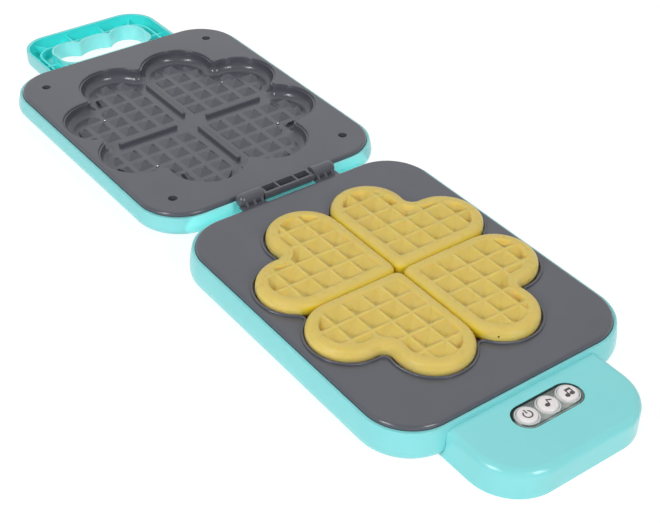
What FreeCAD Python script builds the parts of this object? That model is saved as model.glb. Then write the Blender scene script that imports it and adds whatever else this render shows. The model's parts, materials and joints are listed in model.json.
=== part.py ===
import FreeCAD, Part
import math
import os

# Toy heart-waffle maker, lid open flat behind the base. Millimetres, +Z up.
# The table is z = 0, the hinge runs along X at y = 0, the base is towards -Y and the open lid towards +Y.

V = FreeCAD.Vector
UP = V(0, 0, 1)
ALONG_X = V(1, 0, 0)

# The two grey plates, seen from above
PLATE_W = 160.0
PLATE_L = 201.0
PLATE_R = 27.4
PLATE_RISE = 2.4
PLATE_EDGE = 2.0
SKIRT = 3.0
SKIN = 2.0
HINGE_GAP = 6.4
PLATE_Y = HINGE_GAP + PLATE_L / 2

# Heights
FOOT_H = 1.3
BASE_DEPTH = 18.7
SEAM_Z = FOOT_H + BASE_DEPTH
FLOOR_Z = FOOT_H + SKIN
AXIS_Z = SEAM_Z + 4.0
LID_SEAM_Z = SEAM_Z + 0.3
LID_TILT = 0.77

# Shell walls: (depth below the rim, distance outside the plate's outline)
SEAM_GAP = 0.25
BASE_OUTSIDE = [(0, 1.9), (5, 2.9), (11, 3.4), (15, 2.9), (17.5, 1.0), (BASE_DEPTH, -4.0)]
BASE_INSIDE = [(0, SEAM_GAP), (5, 0.8), (11, 1.2), (14.5, 0.6), (BASE_DEPTH - SKIN, -4.0)]
LID_OUTSIDE = [(0, 1.9), (3.5, 2.8), (7.5, 3.3), (10.6, 2.0), (13.2, -3.0), (15.4, -11.0), (17.0, -20.0),
               (17.6, -26.0)]
LID_INSIDE = [(0, SEAM_GAP), (3.5, 0.7), (7.5, 1.1), (9.4, 0.0), (11.4, -4.5), (13.4, -12.0), (14.8, -20.0),
              (15.4, -26.0)]

# Hearts: four round-lobed hearts point to the middle, a narrow cross between them
GAP = 0.55
LOBE_R = 22.6
LOBE_X = 52.0
LOBE_Y = 55.4
TIP_R = 6.0
NOTCH_R = 5.2
NOTCH_MIN = 0.5
TIP_MIN = 1.5
POCKET_GROW = 1.1
BASE_POCKET = 2.0
LID_FLOOR = -6.5
POCKET_LIP = 2.3
POCKET_LIP_DEPTH = 1.2
POCKET_ROUND = 5.0
LIP_ROUND = 0.8
BASE_GROW = 0.7
BEAD_GROW = 2.2
BEAD_H = 1.2
BEAD_ROUND = 0.6

# Waffles and the grid that shapes them
WAFFLE_TOP = 9.0
WAFFLE_ROUND = 3.8
WAFFLE_FOOT = 2.2
WAFFLE_RIM = 5.5
WAFFLE_SEAT = 0.05
GRID_FIRST = (12.3, 13.4)
GRID_PITCH = (13.2, 13.55)
GRID_COUNT = 5
PIT_W = 11.4
PIT_DEPTH = 3.4
PIT_LIFT = 0.4
PIT_FLARE = 1.2
PIT_FLOOR = 0.8
STUD_W = 10.0
STUD_TOP_W = 1.2
STUD_H = 3.0
STUD_SINK = 0.4
STUD_FLARE = 1.2
STUD_INSET = 7.2
RIB_H = 2.7
RIB_W = 2.4
RIB_ROUND = 0.9
RIB_X = (11.5, 53.0)
RIB_Y = (9.5, 56.0)

# Hinge
BARREL_R = 4.2
BAR_HALF = 18.0
BAR_R = 4.7
KNUCKLE = (18.5, 34.6)
KNUCKLE_RIBS = (19.6, 24.9, 30.2)
KNUCKLE_RIB_W = 1.6
LEAF_Y = (2.0, 9.5)
LEAF_Z = (0.4, 2.1)
PIN_R = 1.5
PIN_SPAN = (15.9, 31.0)
PIN_FIT = 0.02
PIN_RUN = 0.08
PIN_END = 0.2
DOME_R = 3.2
RIB_FOOT = -6.4
RIB_LEAN = (0.9, 0.3)
BAR_TOP = 2.0
BAR_POCKETS = [(-15.8, -7.1), (-5.9, 5.9), (7.1, 15.8)]
BAR_POCKET_Y = (-2.8, 3.0)
BAR_POCKET_DEPTH = 4.6
LEDGE = (-17.8, 17.8, -4.8, -1.8, 15.5, 18.9)

# Handle loop at the lid's far end
HANDLE_HALF = 49.5
HANDLE_END = 258.0
HANDLE_R = 20.0
HANDLE_DEPTH = 11.0
HANDLE_WALL = 2.2
HANDLE_FLOOR = 2.0
HANDLE_ROUND = 4.0
HANDLE_START = 200.0
HOLE_NEAR = 210.9
HOLE_HALF = 33.5
HOLE_CUSP = (12.5, 235.0)
HOLE_MIDDLE = 239.0
HOLE_LOBE = (23.5, 240.5)
HOLE_SIDE = 225.0
HOLE_END = 8.0
HOLE_BEND = (2.0, 3.4)
HOLE_WALL = 1.4
CUSP_ROUND = 3.0
LOOP_RIB = 1.4
LOOP_OUT = 9.3
LOOP_END = 246.1
LOOP_R = 13.0
LOOP_DROP = 3.2
SIDE_RIB_Y = 221.0
SLANT_RIB = (32.0, 14.0, 30.0)

# Control block in front of the base: (height, half width, front) of its foot and of its top before rounding
BLOCK_X = -2.0
BLOCK_FOOT = (0.8, 52.4, 257.4)
BLOCK_HEAD = (17.7, 51.3, 257.8)
BLOCK_R = 28.0
BLOCK_ROUND = 4.5
BLOCK_WALL = 2.1
BLOCK_BACK = 203.0
BLOCK_TOP = BLOCK_HEAD[0]
BLOCK_GAP = 0.15
COVER_GAP = 0.1
PAN_HALF = 49.3
PAN_FRONT = 254.5

# Fits: a press fit, a clearance hole, and how far joined forms run into each other or cuts run past a face
PRESS = 0.05
CLEAR = 0.15
INTO = 0.5
PAST = 1.0
PICK = 0.1
ARC_MID = 1 - math.sqrt(0.5)

# Buttons, window and electronics
BUTTON_X = -0.3
BUTTON_Y = -224.8
BUTTON_PITCH = 13.85
BUTTON_R = 5.5
BUTTON_TOP = 19.3
BUTTON_EDGE = 0.9
BUTTON_GAP = 0.25
BUTTON_FLANGE_R = 6.6
BUTTON_FLANGE_Z = (12.6, 14.1)
WINDOW_L = 44.6
WINDOW_W = 17.0
WINDOW_FIT = 0.1
WINDOW_SINK = 0.3
WINDOW_T = 1.9
WINDOW_FLANGE = 1.7
WINDOW_FLANGE_Z = (-3.2, -2.1)
COLLAR_R = 6.6
COLLAR_RISE = 0.3
PAD_SIZE = (40.0, 14.4, 0.9)
PAD_R = 3.0
DOME = (4.6, 3.4, 1.8)
BOARD = (50.0, 22.0, 1.2)
BOARD_Z = 7.2
BOARD_R = 1.5
CHIP = (8.0, 8.0, 1.4)
LIGHT_R = 1.5
LIGHT_H = 2.6
LIGHT_ROUND = 1.2
LIGHT_Y = BUTTON_Y - 9.2
SPEAKER = (31.9, -236.8)
SPEAKER_R = 11.0
SPEAKER_RIM = 1.6
SPEAKER_CONE = (10.2, 6.0, 1.5)
SPEAKER_MAGNET = (5.5, 1.4)
SPEAKER_LIFT = 0.2
RING_W = 1.6
RING_H = 2.6
RING_LIP = 0.6
GRILLE_R = 0.8
GRILLE_RINGS = ((0, 1), (3.6, 6), (7.0, 12))
WIRE_R = 0.6
WIRE_GAP = 0.3
WIRE_Z = 6.3
WIRE_BEND = 4.0
WIRE_PITCH = (1.6, 1.5)
BATTERY_ROUTE = (6.0, -196.0, -192.0)
SPEAKER_WIRE_X = 14.0
WIRE_GATE = (3.0, 13.0, -214.0, -200.0, 3.9, 8.0)

# Battery box under the plate
BATTERY_Y = -172.0
CELL_R = 5.25
CELL_L = 44.5
CELL_PITCH = 11.6
BOX_L = 52.0
BOX_W = 24.0
BOX_ROOF = 14.6
BOX_WALL = 1.4
CELL_Z = 3.7 + CELL_R
NUB_R = 1.9
NUB_L = 1.2
CONTACT_Z = (4.5, 13.4)
CONTACT_T = 0.5
CONTACT_LIFT = 0.1
CONTACT_HALF = 4.6
LEAF_REACH = 2.65
LEAF_T = 0.45
LEAF_W = 5.0
TAB_HALF = 1.5
TAB_Z = (7.0, 7.5)
TAB_L = 2.4
DOOR_T = 1.8
DOOR_LAP = 2.2
DOOR_R = 2.5
EAR_R = 5.0
GRIP = (14.0, 1.0, 0.5)
GRIP_FIRST = 3.0
GRIP_PITCH = 2.4
GRIP_COUNT = 4
DOOR_SCREW_Y = BATTERY_Y + BOX_W / 2 + 6.5
DOOR_BOSS = (4.0, 11.0)
DOOR_SCREW_TIP = 9.0
SINK_R = 2.75
SINK_H = 1.3
SINK_ROOM = 0.25
SINK_DROP = 0.1

# Screws: (x, y) of the four corners, relative to a plate's middle
SCREW_X = 62.4
SCREW_Y = 80.2
SCREW_R = 1.45
COVER_SCREW = (43.0, -219.0)
COVER_SCREW_SEAT = 3.6
BASE_SCREW_SEAT = 6.0
BASE_BOSS_Z = 10.0
BOSS_GAP = 0.2
LID_SCREW_SEAT = LID_SEAM_Z + PLATE_RISE - 6.0
BOARD_SCREW_X = 22.8
SCREW_HEAD_R = 2.6
SCREW_HEAD_H = 1.6
SLOT_L = 1.7
SLOT_W = 0.35
SLOT_H = 0.6
WELL_R = 2.8
WELL_WALL = 1.4
WELL_FLOOR = 1.6
HEAD_ROOM = 0.3
BASE_BOSS_R = 4.2
PLATE_BOSS_R = 3.6
LID_BOSS_R = 3.4
LID_BOSS_BORE = 10.2
BOARD_BOSS_R = 2.6
PAN_BOSS_R = 4.0
COVER_BOSS_R = 3.2
COVER_BORE_TOP = 13.0
BOARD_HEAD_H = 1.3
BASE_SCREW_L = 12.0
COVER_SCREW_L = 8.5
LID_SCREW_L = 6.0
BOARD_SCREW_L = 4.0

# Rubber feet: three pairs, the last under the control block
FOOT_R = 5.0
FOOT_SINK = 0.6
FOOT_EDGE = 0.5
FOOT_PAIRS = ((60.0, -40.0), (60.0, -165.0), (18.0, -246.0))


def rounded_rect(cx, cy, w, l, r, z):
    """A closed wire: four lines and four corner arcs."""
    x = w / 2
    y = l / 2
    k = r * ARC_MID
    edges = []
    corners = [(1, 1), (-1, 1), (-1, -1), (1, -1)]
    for i, (sx, sy) in enumerate(corners):
        side = V(cx + sx * x, cy + sy * (y - r), z)
        end = V(cx + sx * (x - r), cy + sy * y, z)
        middle = V(cx + sx * (x - k), cy + sy * (y - k), z)
        first, last = (side, end) if sx * sy > 0 else (end, side)
        edges.append(Part.Arc(first, middle, last).toShape())
        nx, ny = corners[(i + 1) % 4]
        if sx == nx:
            target = V(cx + nx * x, cy + ny * (y - r), z)
        else:
            target = V(cx + nx * (x - r), cy + ny * y, z)
        edges.append(Part.makeLine(last, target))
    return Part.Wire(edges)


def prism(wire, height):
    return Part.Face(wire).extrude(V(0, 0, height))


def polygon(points):
    return Part.makePolygon(points + points[:1])


def box(x0, x1, y0, y1, z0, z1):
    return Part.makeBox(x1 - x0, y1 - y0, z1 - z0, V(x0, y0, z0))


def post(x, y, r, z0, z1):
    return Part.makeCylinder(r, z1 - z0, V(x, y, z0), UP)


def fillet(shape, radius, choose):
    return shape.makeFillet(radius, [e for e in shape.Edges if choose(e.BoundBox)])


def shell_form(cy, rim_z, profile):
    """A rounded tray form: one profile along four straight sides and round four corners."""
    half_w = PLATE_W / 2 - PLATE_R
    half_l = PLATE_L / 2 - PLATE_R
    deep = profile[-1][0]
    points = [V(PLATE_R + out, 0, -depth) for depth, out in profile]
    curve = Part.BSplineCurve()
    curve.interpolate(Points=points, InitialTangent=V(0.25, 0, -1), FinalTangent=V(-1, 0, 0))
    edges = [
        Part.makeLine(V(0, 0, 0), points[0]),
        curve.toShape(),
        Part.makeLine(points[-1], V(0, 0, -deep)),
        Part.makeLine(V(0, 0, -deep), V(0, 0, 0)),
    ]
    section = Part.Face(Part.Wire(edges))
    form = box(-half_w, half_w, -half_l, half_l, -deep, 0)
    pieces = []
    for turn in range(4):
        reach, run = (half_w, half_l) if turn % 2 == 0 else (half_l, half_w)
        side = section.translated(V(reach, -run, 0)).extrude(V(0, 2 * run, 0))
        corner = section.revolve(V(0, 0, 0), UP, 90).translated(V(reach, run, 0))
        for piece in (side, corner):
            piece.rotate(V(0, 0, 0), UP, 90 * turn)
            pieces.append(piece)
    form = form.fuse(pieces).removeSplitter()
    form.translate(V(0, cy, rim_z))
    return form


def lobe_centres():
    """The eight lobes of the four hearts, anticlockwise from the +X one."""
    near = GAP + LOBE_R
    quarter = [(LOBE_X, near), (near, LOBE_Y)]
    right = quarter + [(-x, y) for x, y in reversed(quarter)]
    return right + [(-x, -y) for x, y in right]


def notch_between(a, b, grow):
    """Where a small fillet between two lobes touches each of them, and its middle point."""
    r = LOBE_R + grow
    notch_r = max(NOTCH_R - grow, NOTCH_MIN)
    reach = r + notch_r
    half = math.hypot(b[0] - a[0], b[1] - a[1]) / 2
    mid = V((a[0] + b[0]) / 2, (a[1] + b[1]) / 2, 0)
    out = V(b[1] - a[1], a[0] - b[0], 0).normalize()
    centre = mid + out * math.sqrt(reach * reach - half * half)
    towards_a = V(a[0], a[1], 0) + (centre - V(a[0], a[1], 0)) * (r / reach)
    towards_b = V(b[0], b[1], 0) + (centre - V(b[0], b[1], 0)) * (r / reach)
    return towards_a, centre - out * notch_r, towards_b


def flower_wire(cy, z, grow):
    """The outline round all four hearts, grown outwards."""
    r = LOBE_R + grow
    lobes = lobe_centres()
    shift = V(0, cy, z)
    notches = [notch_between(lobes[i], lobes[(i + 1) % 8], grow) for i in range(8)]
    edges = []
    for i, (x, y) in enumerate(lobes):
        start = notches[i - 1][2]
        end = notches[i][0]
        far = V(x, y, 0) + (start + end - V(2 * x, 2 * y, 0)).normalize() * r
        edges.append(Part.Arc(start + shift, far + shift, end + shift).toShape())
        edges.append(Part.Arc(*(p + shift for p in notches[i])).toShape())
    return Part.Wire(edges)


def heart_wire(cy, z, inset):
    """The heart in the +X +Y quarter, made smaller by inset."""
    r = LOBE_R - inset
    side = GAP + inset
    tip = max(TIP_R - inset, TIP_MIN)
    a, b = lobe_centres()[:2]
    to_a, middle, to_b = notch_between(a, b, -inset)
    shift = V(0, cy, z)
    tip_mid = side + tip * ARC_MID

    def arc(p, q, s):
        return Part.Arc(p + shift, q + shift, s + shift).toShape()

    start = V(a[0], side, 0)
    end = V(side, b[1], 0)
    edges = [
        Part.makeLine(V(side + tip, side, 0) + shift, start + shift),
        arc(start, V(a[0] + r, a[1], 0), to_a),
        arc(to_a, middle, to_b),
        arc(to_b, V(b[0], b[1] + r, 0), end),
        Part.makeLine(end + shift, V(side, side + tip, 0) + shift),
        arc(V(side, side + tip, 0), V(tip_mid, tip_mid, 0), V(side + tip, side, 0)),
    ]
    return Part.Wire(edges)


def pyramid(x, y, z, half, top_half, height):
    """A four-sided stud with a small flat top; a negative height points it down."""
    corners = ((-1, -1), (1, -1), (1, 1), (-1, 1))
    low = [V(x + sx * half, y + sy * half, z) for sx, sy in corners]
    high = [V(x + sx * top_half, y + sy * top_half, z + height) for sx, sy in corners]
    faces = [Part.Face(polygon(low)), Part.Face(polygon(high))]
    for i in range(4):
        j = (i + 1) % 4
        faces.append(Part.Face(polygon([low[i], low[j], high[j], high[i]])))
    solid = Part.Solid(Part.Shell(faces))
    return solid if solid.Volume > 0 else solid.reversed()


def grid(cy, z, width, top_width, height):
    """Studs on the waffle grid of one quarter."""
    studs = []
    for i in range(GRID_COUNT):
        for j in range(GRID_COUNT):
            x = GRID_FIRST[0] + i * GRID_PITCH[0]
            y = cy + GRID_FIRST[1] + j * GRID_PITCH[1]
            studs.append(pyramid(x, y, z, width / 2, top_width / 2, height))
    return Part.makeCompound(studs)


def quarters(shape, cy):
    """A shape of the +X +Y quarter, and its three mirror images."""
    left = shape.mirror(V(0, cy, 0), ALONG_X)
    return [shape, left, shape.mirror(V(0, cy, 0), V(0, 1, 0)), left.mirror(V(0, cy, 0), V(0, 1, 0))]


def corner_points(cy):
    return [(sx * SCREW_X, cy + sy * SCREW_Y) for sx in (-1, 1) for sy in (-1, 1)]


def screw(x, y, seat_z, head_h, length, up):
    """A pan-head screw with a cross slot; up is +1 if its point is up."""
    top = seat_z - up * head_h
    tip = seat_z + up * length
    head = post(x, y, SCREW_HEAD_R, min(seat_z, top), max(seat_z, top))
    shank = post(x, y, SCREW_R, min(seat_z, tip), max(seat_z, tip))
    slot = box(x - SLOT_L, x + SLOT_L, y - SLOT_W, y + SLOT_W, top - SLOT_H, top + SLOT_H)
    cross = box(x - SLOT_W, x + SLOT_W, y - SLOT_L, y + SLOT_L, top - SLOT_H, top + SLOT_H)
    return head.fuse(shank).cut(slot.fuse(cross))


def tube(points, radius, bend):
    """A round wire along straight runs joined by tangent arcs of one radius."""
    edges = []
    at = points[0]
    for before, corner, after in zip(points, points[1:], points[2:]):
        back = (before - corner).normalize()
        on = (after - corner).normalize()
        half = back.getAngle(on) / 2
        run = bend / math.tan(half)
        centre = corner + (back + on).normalize() * (bend / math.sin(half))
        first = corner + back * run
        middle = centre + (corner - centre).normalize() * bend
        last = corner + on * run
        edges.append(Part.makeLine(at, first))
        edges.append(Part.Arc(first, middle, last).toShape())
        at = last
    edges.append(Part.makeLine(at, points[-1]))
    ring = Part.Wire(Part.makeCircle(radius, points[0], points[1] - points[0]))
    return Part.Wire(edges).makePipeShell([ring], True, False)


def plate(cy, seam_z):
    """A plate's cap with a rounded upper edge and a skirt that drops inside the shell's rim."""
    top = seam_z + PLATE_RISE
    cap = prism(rounded_rect(0, cy, PLATE_W, PLATE_L, PLATE_R, seam_z - SKIRT), SKIRT + PLATE_RISE)
    cap = fillet(cap, PLATE_EDGE, lambda b: b.ZMin > top - PICK)
    inner = rounded_rect(0, cy, PLATE_W - 2 * SKIN, PLATE_L - 2 * SKIN, PLATE_R - SKIN, seam_z - SKIRT)
    return cap.cut(prism(inner, SKIRT + PLATE_RISE - SKIN))


def lid_pocket(floor_z, top_z):
    """The space that is cut out of the lid's plate: hearts' outline with a shallow lip and a rounded foot."""
    space = prism(flower_wire(PLATE_Y, floor_z, POCKET_GROW), top_z - floor_z + PAST)
    space = fillet(space, POCKET_ROUND, lambda b: b.ZMax < floor_z + PICK)
    lip = prism(flower_wire(PLATE_Y, top_z - POCKET_LIP_DEPTH, POCKET_LIP), POCKET_LIP_DEPTH + PAST)
    return space.fuse(lip)


def make_base_plate():
    """The plate with a shallow pocket for the waffles and a round bead along the pocket's edge."""
    cy = -PLATE_Y
    top = SEAM_Z + PLATE_RISE
    floor = top - BASE_POCKET
    bead_top = top + BEAD_H
    body = plate(cy, SEAM_Z)
    tub = prism(flower_wire(cy, floor - SKIN, BEAD_GROW), bead_top - floor + SKIN)
    space = prism(flower_wire(cy, floor, BASE_GROW), bead_top - floor + PAST)
    body = body.fuse(tub).cut(space)
    body = fillet(body, BEAD_ROUND, lambda b: b.ZMin > bead_top - PICK)
    for x, y in corner_points(cy):
        body = body.fuse(post(x, y, PLATE_BOSS_R, BASE_BOSS_Z + BOSS_GAP, top - SKIN))
        body = body.cut(post(x, y, SCREW_R + PRESS, BASE_BOSS_Z, SEAM_Z - PAST))
    for side in (-1, 1):
        start = KNUCKLE[0] if side > 0 else -PIN_SPAN[1] - PIN_END
        bore = along_x(PIN_R + PIN_FIT, start, start + PIN_SPAN[1] + PIN_END - KNUCKLE[0])
        body = body.fuse(knuckle(side)).cut(bore)
    return body.removeSplitter()


def along_x(r, x0, x1):
    return Part.makeCylinder(r, x1 - x0, V(x0, 0, AXIS_Z), ALONG_X)


def knuckle(side):
    """One of the base's two hinge sleeves: a domed barrel on a leaf, with three short ribs."""
    x0, x1 = sorted((side * KNUCKLE[0], side * KNUCKLE[1]))
    outer = side * KNUCKLE[1]
    top = SEAM_Z + PLATE_RISE
    sleeve = fillet(along_x(BARREL_R, x0, x1), DOME_R, lambda b: abs(b.Center.x - outer) < PICK)
    sleeve = sleeve.fuse(box(x0, x1, -LEAF_Y[1], -LEAF_Y[0], SEAM_Z + LEAF_Z[0], SEAM_Z + LEAF_Z[1]))
    for rib in KNUCKLE_RIBS:
        near = min(side * rib, side * (rib + KNUCKLE_RIB_W))
        profile = [
            V(near, RIB_FOOT, SEAM_Z + LEAF_Z[0]),
            V(near, RIB_FOOT, top),
            V(near, -BARREL_R * RIB_LEAN[0], AXIS_Z + BARREL_R * RIB_LEAN[1]),
            V(near, 0, AXIS_Z),
            V(near, -LEAF_Y[0], SEAM_Z + LEAF_Z[0]),
        ]
        sleeve = sleeve.fuse(Part.Face(polygon(profile)).extrude(V(KNUCKLE_RIB_W, 0, 0)))
    return sleeve


def make_lid_plate():
    cy = PLATE_Y
    top = LID_SEAM_Z + PLATE_RISE
    floor = LID_SEAM_Z + LID_FLOOR
    body = plate(cy, LID_SEAM_Z)
    tub = prism(flower_wire(cy, floor - SKIN, POCKET_GROW + SKIN), top - PAST - floor + SKIN)
    body = body.fuse(tub).cut(lid_pocket(floor, top))
    reach = PLATE_W / 2 - PLATE_EDGE - INTO
    body = fillet(body, LIP_ROUND, lambda b: b.ZMin > top - PICK / 10 and max(-b.XMin, b.XMax) < reach)
    inside = prism(heart_wire(cy, floor - PAST, STUD_INSET), PAST + 2 * STUD_H)
    studs = grid(cy, floor - STUD_SINK, STUD_W + STUD_FLARE, STUD_TOP_W, STUD_H + STUD_SINK).common(inside)
    body = body.fuse([s for part in quarters(studs, cy) for s in part.Solids])
    ribs = []
    rib_top = floor + RIB_H
    for side in (-1, 1):
        x0, x1 = sorted((side * RIB_X[0], side * RIB_X[1]))
        y0, y1 = sorted((side * RIB_Y[0], side * RIB_Y[1]))
        ribs.append(box(x0, x1, cy - RIB_W / 2, cy + RIB_W / 2, floor - INTO, rib_top))
        ribs.append(box(-RIB_W / 2, RIB_W / 2, cy + y0, cy + y1, floor - INTO, rib_top))
    body = body.fuse([fillet(rib, RIB_ROUND, lambda b: b.ZMin > rib_top - PICK) for rib in ribs])
    for x, y in corner_points(cy):
        body = body.fuse(post(x, y, WELL_R + WELL_WALL, LID_SCREW_SEAT - WELL_FLOOR, top - PAST))
        body = body.cut(post(x, y, WELL_R, LID_SCREW_SEAT, top + PAST))
        body = body.cut(post(x, y, SCREW_R + CLEAR, LID_SCREW_SEAT - WELL_FLOOR - PAST, top))
    return body.fuse(hinge_bar(top)).removeSplitter()


def hinge_bar(top):
    """The lid's half of the hinge: a flat-topped barrel with three pockets, on a leaf to the plate."""
    flat = AXIS_Z + BAR_TOP
    bar = along_x(BAR_R, -BAR_HALF, BAR_HALF)
    bar = bar.cut(box(-BAR_HALF, BAR_HALF, -BAR_R, BAR_R, flat, flat + BAR_R))
    bar = bar.fuse(box(-BAR_HALF, BAR_HALF, LEAF_Y[0], LEAF_Y[1], LID_SEAM_Z + LEAF_Z[0], top))
    for x0, x1 in BAR_POCKETS:
        bar = bar.cut(box(x0, x1, *BAR_POCKET_Y, flat - BAR_POCKET_DEPTH, flat + 1))
    for x0, x1 in ((-BAR_HALF, BAR_POCKETS[0][0]), (BAR_POCKETS[-1][1], BAR_HALF)):
        bar = bar.cut(along_x(PIN_R + PIN_RUN, x0, x1))
    return bar


def make_base_shell():
    cy = -PLATE_Y
    body = shell_form(cy, SEAM_Z, BASE_OUTSIDE)
    hollow = shell_form(cy, SEAM_Z, BASE_INSIDE)
    pan = prism(block_outline(FOOT_H, PAN_HALF, PAN_FRONT, BLOCK_R - BLOCK_WALL), SKIN)
    body = body.fuse(pan).cut(hollow)
    low = FOOT_H - PAST
    inside = FLOOR_Z - INTO
    extras = []
    cuts = []
    for x, y in corner_points(cy):
        extras.append(post(x, y, BASE_BOSS_R, inside, BASE_BOSS_Z))
        cuts.append(post(x, y, SCREW_R + CLEAR, low, BASE_BOSS_Z + PAST))
        cuts.append(post(x, y, SCREW_HEAD_R + HEAD_ROOM, low, BASE_SCREW_SEAT))
    extras.append(battery_box(BOX_WALL, inside, BOX_ROOF + BOX_WALL))
    extras.append(post(0, DOOR_SCREW_Y, DOOR_BOSS[0], inside, DOOR_BOSS[1]))
    cuts.append(battery_box(0, low, BOX_ROOF))
    cuts.append(door_form(CLEAR, low, FOOT_H + DOOR_T + CLEAR))
    cuts.append(post(0, DOOR_SCREW_Y, SCREW_R + PRESS, FOOT_H, DOOR_BOSS[1] - PAST))
    for y in cell_rows():
        tab = TAB_HALF + CLEAR
        x1 = BOX_L / 2 + BOX_WALL + PAST
        cuts.append(box(BOX_L / 2 - PAST, x1, y - tab, y + tab, TAB_Z[0] - CLEAR, TAB_Z[1] + CLEAR))
    for x in board_screw_columns():
        extras.append(post(x, BUTTON_Y, BOARD_BOSS_R, inside, BOARD_Z))
        cuts.append(post(x, BUTTON_Y, SCREW_R + PRESS, FOOT_H + SKIN / 2, BOARD_Z + PAST))
    boss_top = COVER_SCREW_SEAT + WELL_FLOOR
    for x, y in cover_screw_points():
        extras.append(post(x, y, PAN_BOSS_R, inside, boss_top))
        cuts.append(post(x, y, SCREW_R + CLEAR, low, boss_top + PAST))
        cuts.append(post(x, y, SCREW_HEAD_R + HEAD_ROOM, low, COVER_SCREW_SEAT))
    for ring, count in GRILLE_RINGS:
        for i in range(count):
            angle = 2 * math.pi * i / count
            x = SPEAKER[0] + ring * math.cos(angle)
            y = SPEAKER[1] + ring * math.sin(angle)
            cuts.append(post(x, y, GRILLE_R, low, FLOOR_Z + PAST))
    extras.append(box(*LEDGE))
    cuts.append(box(*WIRE_GATE))
    for x, y in foot_points():
        cuts.append(post(x, y, FOOT_R + CLEAR, low, FOOT_H + FOOT_SINK))
    return body.fuse(extras).cut(cuts).removeSplitter()


def battery_box(grow, z0, z1):
    x = BOX_L / 2 + grow
    y = BOX_W / 2 + grow
    return box(-x, x, BATTERY_Y - y, BATTERY_Y + y, z0, z1)


def cell_rows():
    return [BATTERY_Y - CELL_PITCH / 2, BATTERY_Y + CELL_PITCH / 2]


def door_form(grow, z0, z1):
    """The battery door's outline: a plate over the box with a round screw ear."""
    lap = DOOR_LAP + grow
    ear_r = EAR_R + grow
    edge = BATTERY_Y + BOX_W / 2
    slab = prism(rounded_rect(0, BATTERY_Y, BOX_L + 2 * lap, BOX_W + 2 * lap, DOOR_R, z0), z1 - z0)
    ear = post(0, DOOR_SCREW_Y, ear_r, z0, z1)
    neck = box(-ear_r, ear_r, edge, DOOR_SCREW_Y, z0, z1)
    return slab.fuse([ear, neck])


def board_screw_columns():
    return [BUTTON_X - BOARD_SCREW_X, BUTTON_X + BOARD_SCREW_X]


def cover_screw_points():
    x, y = COVER_SCREW
    return [(BLOCK_X - x, y), (BLOCK_X + x, y)]


def foot_points():
    return [(side * x, y) for x, y in FOOT_PAIRS for side in (-1, 1)]


def block_outline(z, half, front, r):
    """A round-fronted outline at one height; its straight back lies inside the base's front wall."""
    k = r * ARC_MID
    x0 = BLOCK_X - half
    x1 = BLOCK_X + half
    back_l = V(x0, -BLOCK_BACK, z)
    back_r = V(x1, -BLOCK_BACK, z)
    edges = [
        Part.makeLine(back_r, back_l),
        Part.makeLine(back_l, V(x0, -front + r, z)),
        Part.Arc(V(x0, -front + r, z), V(x0 + k, -front + k, z), V(x0 + r, -front, z)).toShape(),
        Part.makeLine(V(x0 + r, -front, z), V(x1 - r, -front, z)),
        Part.Arc(V(x1 - r, -front, z), V(x1 - k, -front + k, z), V(x1, -front + r, z)).toShape(),
        Part.makeLine(V(x1, -front + r, z), back_r),
    ]
    return Part.Wire(edges)


def block_form(inset, drop):
    """The block's drafted form with its top edge rounded."""
    wires = []
    for z, half, front in (BLOCK_FOOT, BLOCK_HEAD):
        wires.append(block_outline(z - drop, half - inset, front - inset, BLOCK_R - inset))
    form = Part.makeLoft(wires, True, True)
    top = BLOCK_HEAD[0] - drop
    return fillet(form, BLOCK_ROUND - inset, lambda b: b.ZMin > top - PICK and b.YMin < -BLOCK_BACK - 1)


def stadium(cx, cy, length, width, z, height):
    return prism(rounded_rect(cx, cy, length, width, width / 2 - 0.001, z), height)


def make_control_cover():
    outer = block_form(0, 0)
    inner = block_form(BLOCK_WALL, SKIN)
    keep_clear = shell_form(-PLATE_Y, SEAM_Z, [(d, o + BLOCK_GAP) for d, o in BASE_OUTSIDE])
    cover = outer.cut(inner)
    boss_foot = COVER_SCREW_SEAT + WELL_FLOOR + COVER_GAP
    for x, y in cover_screw_points():
        cover = cover.fuse(post(x, y, COVER_BOSS_R, boss_foot, BLOCK_TOP - PAST).common(outer))
        cover = cover.cut(post(x, y, SCREW_R + PRESS, boss_foot - PAST, COVER_BORE_TOP))
    cover = cover.cut(keep_clear)
    cover = cover.cut(stadium(BUTTON_X, BUTTON_Y, WINDOW_L, WINDOW_W, BLOCK_TOP - 2 * SKIN, 4 * SKIN))
    return max(cover.Solids, key=lambda s: s.Volume)


def make_window():
    """A clear plate in the block's slot, with a flange below and a collar round each button."""
    top = BLOCK_TOP - WINDOW_SINK
    fit = 2 * WINDOW_FIT
    flange = 2 * WINDOW_FLANGE
    flange_z, flange_top = WINDOW_FLANGE_Z
    window = stadium(BUTTON_X, BUTTON_Y, WINDOW_L - fit, WINDOW_W - fit, top - WINDOW_T, WINDOW_T)
    rim_l = WINDOW_L + flange
    rim_w = WINDOW_W + flange
    rim = stadium(BUTTON_X, BUTTON_Y, rim_l, rim_w, BLOCK_TOP + flange_z, flange_top - flange_z)
    window = window.fuse(rim)
    for x in button_columns():
        window = window.fuse(post(x, BUTTON_Y, COLLAR_R, top - WINDOW_T / 2, BLOCK_TOP + COLLAR_RISE))
    for x in button_columns():
        window = window.cut(post(x, BUTTON_Y, BUTTON_R + BUTTON_GAP, BUTTON_FLANGE_Z[0], BUTTON_TOP + PAST))
    return window


def button_columns():
    return [BUTTON_X - BUTTON_PITCH, BUTTON_X, BUTTON_X + BUTTON_PITCH]


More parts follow.
